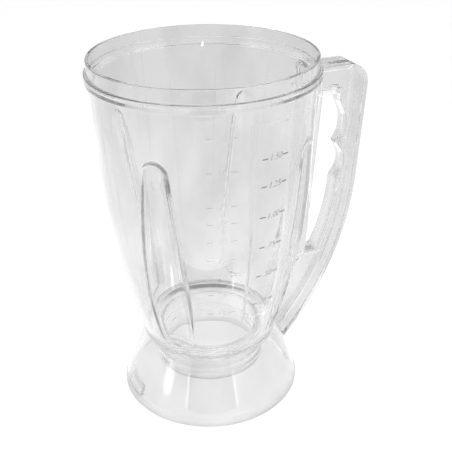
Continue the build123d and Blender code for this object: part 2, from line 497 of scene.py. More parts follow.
    def column_angles(self, half_turn: np.ndarray) -> np.ndarray:
        """Angles of the columns, gathered along the edges of the flutes and the plaque.

        Args:
            half_turn: Half the angle that a flute takes up, for each row.

        Returns:
            The angles, with a line for each row.
        """
        edge = half_turn[:, None]
        within = edge * np.sin(np.linspace(-1.0, 1.0, 2 * self.flute_columns + 1) * math.pi / 2.0)
        beside = np.linspace(0.0, 1.0, self.beside_columns + 1)[1:] ** self.beside_crowding
        outer = edge + (self.flute_reach - edge) * beside
        spread = FULL_TURN / self.flute_count
        gap = spread - 2.0 * self.flute_reach
        spans = round(gap / self.coarse_step)
        coarse = np.tile(self.flute_reach + np.arange(1, spans) * gap / spans, (len(edge), 1))
        one = np.hstack([-outer[:, ::-1], within, outer, coarse])
        turns = [self.flute_turn + index * spread for index in range(self.flute_count)]
        half = self.plaque_edge / 2.0 / self.shoulder_radius
        sides = [self.plaque_from - half, self.plaque_from + half]
        sides += [self.plaque_to - self.plaque_runout * share for share in (1.0, 0.5, 0.0)]
        columns = [turn + one for turn in turns] + [np.tile(sides, (len(edge), 1))]
        angles = np.hstack(columns) % FULL_TURN
        return angles[:, np.argsort(angles[0])]

    def section(self) -> tuple[np.ndarray, list[Zone]]:
        """The closed section, from the lip down the outside and back up the inside.

        Returns:
            Radius and height of each row, and the zone that each row is in.
        """
        steps = self.corner_steps
        slope = self.skirt_slope()
        mouth = self.rim_radius - self.rim_wall
        lip = self.mouth_round
        heights = self.wall_heights()
        land = self.foot_radius - self.skirt_wall - slope * self.land_tall
        under = self.foot_radius - self.skirt_wall - slope * self.floor_underside
        inner_foot = self.waist_radius - self.wall
        ledge_top = self.shoulder_height + self.ledge_tall
        thread_low, thread_high = (self.collar_foot + end for end in self.thread_span)
        inner = self.wall_radius(heights, self.wall, self.floor_height)
        outside_top = rounded_run([
            (mouth + lip, self.jar_height, 0.0),
            (self.rim_radius, self.jar_height, lip),
            (self.rim_radius, self.bead_top, lip / 2.0),
            (self.bead_radius, self.bead_top, lip),
            (self.bead_radius, self.shoulder_height, lip),
            (self.shoulder_radius, self.shoulder_height, lip / 2.0),
            (float(self.wall_radius(heights[-1])), heights[-1], 0.0),
        ], steps)[:-1]
        outside = np.column_stack([self.wall_radius(heights), heights])[::-1]
        below = rounded_run([
            (float(self.wall_radius(heights[0])), heights[0], 0.0),
            (self.waist_radius, self.waist_height, self.waist_blend),
            (self.foot_radius, 0.0, self.foot_round),
            (land, 0.0, self.foot_round / 2.0),
            (land, self.land_tall, self.foot_round / 2.0),
            (under, self.floor_underside, self.foot_round * 2.0),
            (self.collar_radius, self.floor_underside, self.foot_round * 2.0),
            (self.collar_radius, thread_high + self.thread_gap, 0.0),
        ], steps)[1:]
        collar_heights = np.linspace(thread_high, thread_low, self.thread_rows)
        collar = np.column_stack([np.full_like(collar_heights, self.collar_radius), collar_heights])
        bottom = rounded_run([
            (self.collar_radius, thread_low - self.thread_gap, 0.0),
            (self.collar_radius, self.collar_foot, self.foot_round),
            (self.bore_radius, self.collar_foot, self.foot_round),
            (self.bore_radius, self.floor_height - self.floor_fall, self.foot_round),
            (inner_foot - self.floor_ledge, self.floor_height, self.foot_round),
            (inner_foot, self.floor_height, self.floor_blend),
            (float(inner[0]), heights[0], 0.0),
        ], steps)[:-1]
        inside = np.column_stack([inner, heights])
        inside_top = rounded_run([
            (float(inner[-1]), heights[-1], 0.0),
            (self.shoulder_radius - self.wall, self.shoulder_height, lip),
            (mouth, ledge_top, lip),
            (mouth, self.jar_height, lip / 2.0),
            (mouth + lip, self.jar_height, 0.0),
        ], steps)[1:-1]
        parts = [
            (outside_top, Zone.PLAIN),
            (outside, Zone.OUTSIDE),
            (below, Zone.PLAIN),
            (collar, Zone.THREAD),
            (bottom, Zone.PLAIN),
            (inside, Zone.INSIDE),
            (inside_top, Zone.PLAIN),
        ]
        zones = [zone for rows, zone in parts for _ in rows]
        return np.vstack([rows for rows, _ in parts]), zones

    def flute_fade(self, height: np.ndarray) -> np.ndarray:
        """How fully the flutes are pressed in: run out at the foot and eased towards the round top end.

        Args:
            height: Where to read it.

        Returns:
            The share at each height.
        """
        tip = self.flute_top_height + self.flute_top_radius
        start, end = (tip - drop for drop in self.flute_ease_band)
        ease = self.flute_ease * smooth_step(height, start, end)
        return smooth_step(height, self.wall_low, self.wall_low + self.flute_runout) * (1.0 - ease)

    def fluted(
        self, radius: np.ndarray, angle: np.ndarray, height: np.ndarray, growth: float
    ) -> np.ndarray:
        """A face of the wall with the flutes pressed in.

        Args:
            radius: The face's radius without flutes.
            angle: Angles about the axis, of the same shape.
            height: Heights, of the same shape.
            growth: How much the flutes' trunk is grown all round.

        Returns:
            The radius with flutes.
        """
        groove = self.groove_radius(angle, height, growth)
        pressed = radius - soft_minimum(radius, groove, self.flute_blend)
        return radius - pressed * self.flute_fade(height)

    def outside_radius(self, radius: np.ndarray, angle: np.ndarray, height: np.ndarray) -> np.ndarray:
        """Outer wall with its flutes and the plaque under the scale.

        Args:
            radius: The outer face's radius without either.
            angle: Angles about the axis, of the same shape.
            height: Heights, of the same shape.

        Returns:
            The radius with both.
        """
        half = self.plaque_end / 2.0
        signed = (angle + math.pi) % FULL_TURN - math.pi
        arc = self.plaque_edge / 2.0 / self.shoulder_radius
        across = smooth_step(signed, self.plaque_from - arc, self.plaque_from + arc)
        across *= 1.0 - smooth_step(signed, self.plaque_to - self.plaque_runout, self.plaque_to)
        along = smooth_step(height, self.plaque_low - half, self.plaque_low + half)
        along *= 1.0 - smooth_step(height, self.plaque_high - half, self.plaque_high + half)
        return self.fluted(radius, angle, height, 0.0) + self.plaque_proud * across * along

    def inside_radius(self, radius: np.ndarray, angle: np.ndarray, height: np.ndarray) -> np.ndarray:
        """Inner wall with the ribs that the flutes make."""
        return self.fluted(radius, angle, height, self.wall)

    def thread_radius(self, radius: np.ndarray, angle: np.ndarray, height: np.ndarray) -> np.ndarray:
        """Collar with its helical thread, which runs out at both ends.

        Args:
            radius: The collar's radius without its thread.
            angle: Angles about the axis, of the same shape.
            height: Heights, of the same shape.

        Returns:
            The radius with the thread.
        """
        above = height - self.collar_foot
        phase = above / self.thread_pitch - angle / FULL_TURN
        ridge = smooth_step(np.cos(FULL_TURN * phase), *self.thread_ridge)
        fade = smooth_step(above, *self.thread_start) * (1.0 - smooth_step(above, *self.thread_end))
        return radius + self.thread_depth * ridge * fade

    def build(self, material: bpy.types.Material) -> bpy.types.Object:
        """The turned body as one closed mesh.

        Args:
            material: Its finish.

        Returns:
            The body's object.
        """
        rows, zones = self.section()
        picks = {zone: np.array([row is zone for row in zones]) for zone in Zone}
        half_turn = np.full(len(rows), self.flute_nominal)
        for zone, growth in ((Zone.OUTSIDE, 0.0), (Zone.INSIDE, self.wall)):
            pick = picks[zone]
            half_turn[pick] = self.flute_half_turn(rows[pick, 0], rows[pick, 1], growth)
        angle = self.column_angles(half_turn)
        radius, height = (np.repeat(rows[:, axis:axis + 1], angle.shape[1], axis=1) for axis in (0, 1))
        shapes = {
            Zone.OUTSIDE: self.outside_radius,
            Zone.INSIDE: self.inside_radius,
            Zone.THREAD: self.thread_radius,
        }
        for zone, shape in shapes.items():
            pick = picks[zone]
            radius[pick] = shape(radius[pick], angle[pick], height[pick])
        points = np.column_stack([
            (radius * np.cos(angle)).ravel(),
            (radius * np.sin(angle)).ravel(),
            height.ravel(),
        ])
        count, wide = angle.shape
        here = np.arange(count * wide).reshape(count, wide)
        down, side = np.roll(here, -1, axis=0), np.roll(here, -1, axis=1)
        across = np.roll(down, -1, axis=1)
        faces = np.stack([here, down, across, side], axis=2).reshape(-1, 4)
        return new_object("jar_moulding", mesh_from("jar_moulding", points, faces.tolist()), material)


# The handle


@dataclass
class Handle:
    """Handle of a web, an outer flange, a grip flange round the finger window and a root pad."""

    body: JarBody
    arm_top: float = 0.2115
    reach: float = 0.1045
    lean: float = 0.0604
    knee_height: float = 0.1382
    corner: float = 0.013
    foot_radius: float = 0.0499
    foot_height: float = 0.0185
    flange_width: float = 0.020
    flange_thickness: float = 0.0032
    flange_round: float = 0.001
    web_thickness: float = 0.005
    web_round: float = 0.0002
    pad_reach: float = 0.0727
    pad_foot_reach: float = 0.065
    pad_foot: float = 0.062
    window_top: float = 0.1923
    window_foot: float = 0.084
    grip_reach: float = 0.0874
    grip_foot_reach: float = 0.075
    grip_belly: float = 0.0026
    finger_top: float = 0.186
    finger_bump: float = 0.1577
    finger_foot: float = 0.1345
    finger_depth: float = 0.005
    grip_width: float = 0.012
    grip_thickness: float = 0.0034
    grip_round: float = 0.0008
    root_depth: float = 0.0016
    spacing: float = 0.0012
    soften: float = 0.0013
    pad_lift: float = 0.003
    root_rows: int = 40
    bend_steps: int = 60
    corner_steps: int = 16
    grip_steps: tuple[int, int, int] = (24, 20, 24)

    def root(self, height: np.ndarray) -> np.ndarray:
        """How far out the handle's pieces start, inside the jar's wall."""
        return self.body.outer_radius(height) - self.root_depth

    def root_line(self, low: float, high: float) -> np.ndarray:
        """Points up the inside of the jar's wall between two heights."""
        heights = np.linspace(low, high, self.root_rows)
        return np.column_stack([self.root(heights), heights])

    def edge(self, inset: float) -> np.ndarray:
        """The outer edge set in by a thickness, from the jar's wall along the arm and down to the skirt.

        Args:
            inset: How far inside the outer face.

        Returns:
            The edge's points in X and Z.
        """
        drop = unit(np.array([-self.lean, -1.0]))
        inward = np.array([drop[1], -drop[0]])
        knee = np.array([self.reach - self.lean * (self.arm_top - self.knee_height), self.knee_height])
        foot = np.array([self.foot_radius, self.foot_height])
        bend = tangent_arc(knee, foot, drop, self.bend_steps)
        last = unit(bend[-1] - bend[-2])
        foot = foot + np.array([last[1], -last[0]]) * inset
        knee = knee + inward * inset
        corner = knee + drop * ((self.arm_top - inset - knee[1]) / drop[1])
        radius = self.corner - inset
        along = np.array([1.0, 0.0])
        cut = radius * math.tan(math.acos(along @ drop) / 2.0)
        start = np.array([float(self.root(corner[1])), corner[1]])
        path = np.vstack([
            start,
            tangent_arc(corner - along * cut, corner + drop * cut, along, self.corner_steps),
            tangent_arc(knee, foot, drop, self.bend_steps),
        ])
        return path[path[:, 0] >= self.root(path[:, 1]) - ROUNDING]

    def window(self, grow: float, spine_shift: float = 0.0) -> np.ndarray:
        """The finger window's outline, with two finger hollows in the grip's edge.

        Args:
            grow: How much it is grown all round.
            spine_shift: How much further in its straight side lies.

        Returns:
            The outline's points in X and Z.
        """
        hollow = self.grip_reach + self.finger_depth + grow
        edge = self.grip_reach + grow
        middle = (self.finger_top + self.finger_bump) / 2.0
        lower = (self.finger_bump + self.finger_foot) / 2.0
        belly = np.array([
            (self.grip_reach + self.grip_foot_reach) / 2.0 + self.grip_belly + grow,
            (self.finger_foot + self.window_foot) / 2.0,
        ])
        top, foot = self.window_top + grow, self.window_foot - grow
        upper_end, bump, lower_end = (
            np.array([edge, height]) for height in (self.finger_top, self.finger_bump, self.finger_foot)
        )
        heel = np.array([self.grip_foot_reach + grow, foot])
        upper_steps, lower_steps, belly_steps = self.grip_steps
        points = np.vstack([
            heel,
            [self.pad_foot_reach - grow - spine_shift, foot],
            [self.pad_reach - grow - spine_shift, top],
            [edge, top],
            arc_through(upper_end, np.array([hollow, middle]), bump, upper_steps),
            arc_through(bump, np.array([hollow, lower]), lower_end, lower_steps)[1:],
            arc_through(lower_end, belly, heel, belly_steps)[1:-1],
        ])
        return even_loop(points, self.spacing, self.soften)

    def build(self, material: bpy.types.Material) -> list[bpy.types.Object]:
        """The handle's four forms, each a closed slab that reaches into the jar's wall.

        Args:
            material: Their finish.

        Returns:
            Web, outer flange, grip flange and root pad.
        """
        outer, inner = self.edge(0.0), self.edge(self.flange_thickness)
        band = np.vstack([outer, inner[::-1]])
        flange = rounded_slab("flange", [band], self.flange_width, self.flange_round, material)
        middle = self.edge(self.flange_thickness / 2.0)
        web_outline = np.vstack([middle, self.root_line(middle[-1, 1], middle[0, 1])[1:-1]])
        web_window = self.window(self.grip_thickness / 2.0, self.grip_thickness)
        web = rounded_slab("web", [web_outline, web_window], self.web_thickness, self.web_round, material)
        shift = self.grip_thickness / 4.0
        ring = [self.window(self.grip_thickness, shift), self.window(0.0, shift)]
        grip = rounded_slab("grip", ring, self.grip_width, self.grip_round, material)
        pad_low, pad_top = self.pad_foot + self.pad_lift, self.arm_top - self.flange_thickness / 2.0
        face = np.array([
            [float(self.root(pad_low)), pad_low],
            [self.pad_foot_reach, self.window_foot],
            [self.pad_reach, self.window_top],
            [self.pad_reach, pad_top],
        ])
        pad_outline = np.vstack([face, self.root_line(face[0, 1], pad_top)[::-1][:-1]])
        pad = rounded_slab("pad", [pad_outline], self.flange_width, self.flange_round, material)
        return [web, flange, grip, pad]


@dataclass
class SkirtLugs:
    """The pair of lugs inside the skirt that turn the jar fast on its motor base."""

    body: JarBody
    count: int = 2
    width: float = 0.028
    tall: float = 0.0065
    depth: float = 0.003
    lift: float = 0.0025
    edge: float = 0.0005
    spans: int = 14

    def build(self, material: bpy.types.Material) -> list[bpy.types.Object]:
        """The lugs, each a closed block that follows the skirt's curve and reaches into its wall.

        Args:
            material: Their finish.

        Returns:
            The lugs.
        """
        slope = self.body.skirt_slope()
        low, high = self.lift, self.lift + self.tall
        inside = self.body.foot_radius - self.body.skirt_wall
        sunk = self.body.skirt_wall / 2.0
        outline = np.array([
            [inside - slope * low - self.depth, low],
            [inside - slope * low + sunk, low],
            [inside - slope * high + sunk, high],
            [inside - slope * high - self.depth, high],
        ])
        lugs = []
        for index in range(self.count):
            lug = rounded_slab(f"lug_{index}", [outline], self.width, self.edge, material, self.spans)
            for vert in lug.data.vertices:
                reach, along, height = vert.co
                turn = along / (inside - slope * low) + index * FULL_TURN / self.count
                vert.co = (reach * math.cos(turn), reach * math.sin(turn), height)
            lugs.append(lug)
        return lugs


# The scales on the wall


@dataclass(frozen=True)
class ScaleMark:
    """One mark of a scale: a plain number with a dash on each side."""

    text: str
    height: float


LITRE_MARKS = tuple(
    ScaleMark(text, height)
    for text, height in (
        ("1.50", 0.1844), ("1.25", 0.168), ("1.00", 0.149), (".75", 0.129), (".50", 0.1085), (".25", 0.087),
    )
)
LITRE_AZIMUTH = math.radians(-74.2)
FRONT_MARKS = tuple(
    ScaleMark(str(number), height)
    for number, height in (
        (60, 0.1995), (50, 0.180), (40, 0.1596), (35, 0.149), (30, 0.1376),
        (25, 0.125), (20, 0.113), (15, 0.0996), (10, 0.0846),
    )
)
FRONT_AZIMUTH = math.radians(-101.7)
FRONT_GAP = 0.0026
FRONT_PROUD = 0.0003


@dataclass
class WallScale:
    """A column of numbers and dashes that stands proud of the wall."""

    name: str
    body: JarBody
    marks: Sequence[ScaleMark]
    azimuth: float
    base: float
    letter: float = 0.0036
    thinning: float = 0.00013
    slant: float = 0.25
    dash: float = 0.0034
    dash_thick: float = 0.0006
    gap: float = 0.0013
    proud: float = 0.00035
    sunk: float = 0.00030
    figure_share: float = 0.69
    curve_steps: int = 3
    weld: float = 1e-6
    dash_spans: int = 4
    dash_taper: float = 0.7

    def wrap(self, flat: np.ndarray, mark: ScaleMark) -> np.ndarray:
        """Lays flat lettering on the wall.

        Args:
            flat: Points with X along the line, Y up and Z out from the wall's face.
            mark: The mark that they belong to.

        Returns:
            The points on the wall.
        """
        height = mark.height + flat[:, 1]
        face = self.body.wall_radius(height) + self.base
        angle = self.azimuth + flat[:, 0] / face
        radius = face + flat[:, 2]
        return np.column_stack([radius * np.cos(angle), radius * np.sin(angle), height])

    def letters(self, mark: ScaleMark) -> tuple[np.ndarray, list[tuple[int, ...]]]:
        """A mark's number as a flat, thick mesh.

        Args:
            mark: The mark.

        Returns:
            Its points and its faces.
        """
        curve = bpy.data.curves.new("number", "FONT")
        curve.body = mark.text
        curve.size = self.letter / self.figure_share
        curve.align_x = "CENTER"
        curve.align_y = "CENTER"
        curve.shear = self.slant
        curve.offset = -self.thinning
        curve.extrude = (self.proud + self.sunk) / 2.0
        curve.resolution_u = self.curve_steps
        text = bpy.data.objects.new("number", curve)
        bpy.context.scene.collection.objects.link(text)
        scene_state = bpy.context.evaluated_depsgraph_get()
        mesh = bpy.data.meshes.new_from_object(text.evaluated_get(scene_state))
        work = bmesh.new()
        work.from_mesh(mesh)
        bmesh.ops.remove_doubles(work, verts=work.verts, dist=self.weld)
        work.verts.index_update()
        points = np.array([vert.co for vert in work.verts])
        faces = [tuple(vert.index for vert in face.verts) for face in work.faces]
        work.free()
        bpy.data.objects.remove(text)
        bpy.data.curves.remove(curve)
        bpy.data.meshes.remove(mesh)
        points[:, 2] += (self.proud - self.sunk) / 2.0
        return points, faces

    def dash_box(self, middle: float) -> tuple[np.ndarray, list[tuple[int, ...]]]:
        """A dash beside a number, as a flat, thick mesh with its upper edge drawn in.

        Args:
            middle: Where its middle is along the line.

        Returns:
            Its points and its faces.
        """
        along = middle + np.linspace(-self.dash / 2.0, self.dash / 2.0, self.dash_spans + 1)
        half = self.dash_thick / 2.0
        upper = half * self.dash_taper
        ring = [(-half, -self.sunk), (half, -self.sunk), (upper, self.proud), (-upper, self.proud)]
        points = np.array([(place, up, out) for place in along for up, out in ring])
        sides = len(ring)
        far = self.dash_spans * sides
        faces: list[tuple[int, ...]] = [tuple(range(sides)), tuple(range(far + sides - 1, far - 1, -1))]
        for span in range(self.dash_spans):
            for corner in range(sides):
                first, second = span * sides + corner, span * sides + (corner + 1) % sides
                faces.append((first, first + sides, second + sides, second))
        return points, faces

    def build(self, material: bpy.types.Material) -> bpy.types.Object:
        """All the scale's marks as one object.

        Args:
            material: Their finish.

        Returns:
            The scale's object.
        """
        points: list[np.ndarray] = []
        faces: list[tuple[int, ...]] = []
        for mark in self.marks:
            number = self.letters(mark)
            half = float(np.ptp(number[0][:, 0])) / 2.0
            offset = half + self.gap + self.dash / 2.0
            for part_points, part_faces in (number, self.dash_box(-offset), self.dash_box(offset)):
                start = sum(len(block) for block in points)
                points.append(self.wrap(part_points, mark))
                faces.extend(tuple(corner + start for corner in face) for face in part_faces)
        return new_object(self.name, mesh_from(self.name, np.vstack(points), faces), material)


# Finishes


Colour = tuple[float, float, float, float]
Output = tuple[bpy.types.Node, str]
Wire = tuple[bpy.types.Node, str, bpy.types.Node, str | int]


def grey(level: float) -> Colour:
    """A neutral colour."""
    return (level, level, level, 1.0)


def set_inputs(node: bpy.types.Node, values: dict[str | int, object]) -> None:
    """Sets what some of a node's inputs hold, by name or number."""
    for entry, value in values.items():
        node.inputs[entry].default_value = value


def add_node(
    tree: bpy.types.NodeTree, kind: str, values: dict[str | int, object] | None = None, operation: str = ""
) -> bpy.types.Node:
    """A new node with some of its inputs set.

    Args:
        tree: The nodes to add it to.
        kind: Its type.
        values: What its inputs hold, by name or number, where that isn't what they come with.
        operation: What it works out, for a node with a choice of sums.

    Returns:
        The node.
    """
    node = tree.nodes.new(kind)
    if operation:
        node.operation = operation
    set_inputs(node, values or {})
    return node


def add_ramp(
    tree: bpy.types.NodeTree, ends: tuple[float, float], levels: tuple[float, float] = (0.0, 1.0)
) -> bpy.types.Node:
    """A node that turns a value between two ends into one between two levels.

    Args:
        tree: The nodes to add it to.
        ends: The values that it starts and stops at.
        levels: What it gives at those ends and beyond them.

    Returns:
        The node.
    """
    values = {"From Min": ends[0], "From Max": ends[1], "To Min": levels[0], "To Max": levels[1]}
    return add_node(tree, "ShaderNodeMapRange", values)


def wire(tree: bpy.types.NodeTree, *wires: Wire) -> None:
    """Links nodes, each wire given as a node and its output, then a node and its input."""
    for source, output, target, entry in wires:
        tree.links.new(source.outputs[output], target.inputs[entry])


class MouldFlow:
    """Shared effect: the faint streaks that a moulded part keeps from the flow of its plastic."""

    name = "mould_flow"
    sockets = (
        ("Streak Scale", "INPUT", "NodeSocketFloat"),
        ("Haze Low", "INPUT", "NodeSocketFloat"),
        ("Haze High", "INPUT", "NodeSocketFloat"),
        ("Clear", "INPUT", "NodeSocketColor"),
        ("Clouded", "INPUT", "NodeSocketColor"),
        ("Colour", "OUTPUT", "NodeSocketColor"),
        ("Height", "OUTPUT", "NodeSocketFloat"),
        ("Haze", "OUTPUT", "NodeSocketFloat"),
    )
    streak_stretch = (1.0, 1.0, 0.22)
    streak_detail = 3.0
    streak_roughness = 0.45
    cloud_stretch = (1.0, 1.0, 0.55)
    cloud_scale = 42.0
    cloud_detail = 4.0
    stain_ends = (0.38, 0.68)
    haze_ends = (0.35, 0.75)

    @classmethod
    def group(cls) -> bpy.types.NodeTree:
        """The node group, made once.

        Returns:
            The group.
        """
        found = bpy.data.node_groups.get(cls.name)
        if found:
            return found
        tree = bpy.data.node_groups.new(cls.name, "ShaderNodeTree")
        for socket, side, kind in cls.sockets:
            tree.interface.new_socket(socket, in_out=side, socket_type=kind)
        entry, leave = tree.nodes.new("NodeGroupInput"), tree.nodes.new("NodeGroupOutput")
        place = add_node(tree, "ShaderNodeTexCoord")
        stretch = add_node(tree, "ShaderNodeMapping", {"Scale": cls.streak_stretch})
        lengthen = add_node(tree, "ShaderNodeMapping", {"Scale": cls.cloud_stretch})
        streak_values = {"Detail": cls.streak_detail, "Roughness": cls.streak_roughness}
        streaks = add_node(tree, "ShaderNodeTexNoise", streak_values)
        cloud_values = {"Scale": cls.cloud_scale, "Detail": cls.cloud_detail}
        clouds = add_node(tree, "ShaderNodeTexNoise", cloud_values)
        stain = add_node(tree, "ShaderNodeMix")
        stain.data_type = "RGBA"
        spread, haze = add_ramp(tree, cls.stain_ends), add_ramp(tree, cls.haze_ends)
        wire(
            tree,
            (place, "Object", stretch, "Vector"),
            (stretch, "Vector", streaks, "Vector"),
            (entry, "Streak Scale", streaks, "Scale"),
            (streaks, "Fac", leave, "Height"),
            (place, "Object", lengthen, "Vector"),
            (lengthen, "Vector", clouds, "Vector"),
            (clouds, "Fac", spread, "Value"),
            (spread, "Result", stain, "Factor"),
            (entry, "Clear", stain, "A"),
            (entry, "Clouded", stain, "B"),
            (stain, "Result", leave, "Colour"),
            (clouds, "Fac", haze, "Value"),
            (entry, "Haze Low", haze, "To Min"),
            (entry, "Haze High", haze, "To Max"),
            (haze, "Result", leave, "Haze"),
        )
        return tree


class MaskJoin(Enum):
    """How two masks are joined into one."""

    BOTH = "MULTIPLY"
    EITHER = "MAXIMUM"


class ScuffedRings:
    """Shared effect: where use scuffs a jar, which is its foot, its collar's foot and its floor."""

    name = "scuffed_rings"
    foot = (0.0070, 0.0025)
    collar_foot = (0.0240, 0.0205)
    collar_reach = (0.0385, 0.0370)
    floor_low = (0.0425, 0.0440)
    floor_high = (0.0525, 0.0490)
    floor_reach = (0.0440, 0.0428)
    floor_share = 0.25

    @staticmethod
    def mask(tree: bpy.types.NodeTree, measure: Output, ends: tuple[float, float]) -> Output:
        """A mask that grows from 0 to 1 as a measure goes from one end to the other.

        Args:
            tree: The node group to add to.
            measure: The node and output that give the measure.
            ends: The values where the mask is 0 and 1.

        Returns:
            The node and output that give the mask.
        """
        node = add_ramp(tree, ends)
        wire(tree, (*measure, node, "Value"))
        return node, "Result"

    @staticmethod
    def joined(tree: bpy.types.NodeTree, join: MaskJoin, first: Output, second: Output) -> Output:
        """Two masks in one.

        Args:
            tree: The node group to add to.
            join: How they are joined.
            first: The node and output that give one mask.
            second: The same for the other.

        Returns:
            The node and output that give the joined mask.
        """
        node = add_node(tree, "ShaderNodeMath", operation=join.value)
        wire(tree, (*first, node, 0), (*second, node, 1))
        return node, "Value"

    @classmethod
    def group(cls) -> bpy.types.NodeTree:
        """The node group, made once.

        Returns:
            The group, whose Wear is 1 where the scuffs are worst.
        """
        found = bpy.data.node_groups.get(cls.name)
        if found:
            return found
        tree = bpy.data.node_groups.new(cls.name, "ShaderNodeTree")
        tree.interface.new_socket("Wear", in_out="OUTPUT", socket_type="NodeSocketFloat")
        leave = tree.nodes.new("NodeGroupOutput")
        place, split = add_node(tree, "ShaderNodeTexCoord"), add_node(tree, "ShaderNodeSeparateXYZ")
        level = add_node(tree, "ShaderNodeVectorMath", {1: (1.0, 1.0, 0.0)}, "MULTIPLY")
        reach = add_node(tree, "ShaderNodeVectorMath", operation="LENGTH")
        wire(
            tree,
            (place, "Object", split, "Vector"),
            (place, "Object", level, 0),
            (level, "Vector", reach, 0),
        )
        height, radius = (split, "Z"), (reach, "Value")
        collar = cls.mask(tree, height, cls.collar_foot)
        collar = cls.joined(tree, MaskJoin.BOTH, collar, cls.mask(tree, radius, cls.collar_reach))
        floor = cls.mask(tree, height, cls.floor_low)
        floor = cls.joined(tree, MaskJoin.BOTH, floor, cls.mask(tree, height, cls.floor_high))
        floor = cls.joined(tree, MaskJoin.BOTH, floor, cls.mask(tree, radius, cls.floor_reach))
        lessen = add_node(tree, "ShaderNodeMath", {1: cls.floor_share}, "MULTIPLY")
        wire(tree, (*floor, lessen, 0))
        wear = cls.joined(tree, MaskJoin.EITHER, cls.mask(tree, height, cls.foot), collar)
        wear = cls.joined(tree, MaskJoin.EITHER, wear, (lessen, "Value"))
        wire(tree, (*wear, leave, "Wear"))
        return tree


@dataclass(frozen=True)
class ClearPlastic:
    """A clear, polished plastic that lets light through to what is behind it."""

    name: str
    clear: Colour
    clouded: Colour
    shade: Colour
    streak_scale: float
    streak_strength: float
    haze_low: float
    haze_high: float
    scuff: float
    depth_shade: float = 3.6
    refraction: float = 1.56
    streak_depth: float = 0.001

    def material(self) -> bpy.types.Material:
        """The finish as a material.

        Returns:
            The material, which lets the light of lamps through as a tint.
        """
        material = bpy.data.materials.new(self.name)
        material.use_nodes = True
        tree = material.node_tree
        tree.nodes.clear()
        out = add_node(tree, "ShaderNodeOutputMaterial")
        plastic_values = {"IOR": self.refraction, "Transmission Weight": 1.0}
        plastic = add_node(tree, "ShaderNodeBsdfPrincipled", plastic_values)
        flow, scuffed = add_node(tree, "ShaderNodeGroup"), add_node(tree, "ShaderNodeGroup")
        flow.node_tree, scuffed.node_tree = MouldFlow.group(), ScuffedRings.group()
        set_inputs(flow, {
            "Streak Scale": self.streak_scale,
            "Haze Low": self.haze_low,
            "Haze High": self.haze_high,
            "Clear": self.clear,
            "Clouded": self.clouded,
        })
        rough = add_node(tree, "ShaderNodeMath", {1: self.scuff}, "MULTIPLY_ADD")
        bump_values = {"Strength": self.streak_strength, "Distance": self.streak_depth}
        bump = add_node(tree, "ShaderNodeBump", bump_values)
        path = add_node(tree, "ShaderNodeLightPath")
        passing = add_node(tree, "ShaderNodeBsdfTransparent", {"Color": self.shade})
        mix = add_node(tree, "ShaderNodeMixShader")
        depth_values = {"Color": grey(0.0), "Density": self.depth_shade}
        depth = add_node(tree, "ShaderNodeVolumeAbsorption", depth_values)
        wire(
            tree,
            (flow, "Colour", plastic, "Base Color"),
            (flow, "Height", bump, "Height"),
            (bump, "Normal", plastic, "Normal"),
            (scuffed, "Wear", rough, 0),
            (flow, "Haze", rough, 2),
            (rough, "Value", plastic, "Roughness"),
            (path, "Is Shadow Ray", mix, "Fac"),
            (plastic, "BSDF", mix, 1),
            (passing, "BSDF", mix, 2),
            (mix, "Shader", out, "Surface"),
            (depth, "Volume", out, "Volume"),
        )
        return material


JAR_FINISH = ClearPlastic(
    name="clear_plastic",
    clear=grey(0.995),
    clouded=grey(0.89),
    shade=grey(0.965),
    streak_scale=55.0,
    streak_strength=0.02,
    haze_low=0.0,
    haze_high=0.04,
    scuff=0.50,
)
MARK_FINISH = ClearPlastic(
    name="scale_relief",
    clear=grey(0.97),
    clouded=grey(0.91),
    shade=grey(0.96),
    streak_scale=300.0,
    streak_strength=0.2,
    haze_low=0.10,
    haze_high=0.25,
    scuff=0.0,
)


# Stage, light and camera


class LampShape(Enum):
    """The outline of a lamp's face, with the share of its box that it fills."""

    RECTANGLE = 1.0
    ELLIPSE = math.pi / 4.0


def around(azimuth: float, reach: float, height: float) -> Vector:
    """A place about the jar's axis."""
    return Vector((math.cos(azimuth) * reach, math.sin(azimuth) * reach, height))


def add_area_lamp(
    name: str, shape: LampShape, size: tuple[float, float], power: float, place: Vector, aim: Vector
) -> bpy.types.Object:
    """An area lamp in the scene.

    Args:
        name: Its name.
        shape: Its outline.
        size: Its width and height.
        power: Its power.
        place: Where it stands.
        aim: Which way it faces.

    Returns:
        The lamp's object.
    """
    lamp = bpy.data.lights.new(name, "AREA")
    lamp.shape = shape.name
    lamp.size, lamp.size_y = size
    lamp.energy = power
    light = bpy.data.objects.new(name, lamp)
    light.matrix_world = Matrix.Translation(place) @ aim.to_track_quat("-Z", "Y").to_matrix().to_4x4()
    bpy.context.scene.collection.objects.link(light)
    return light


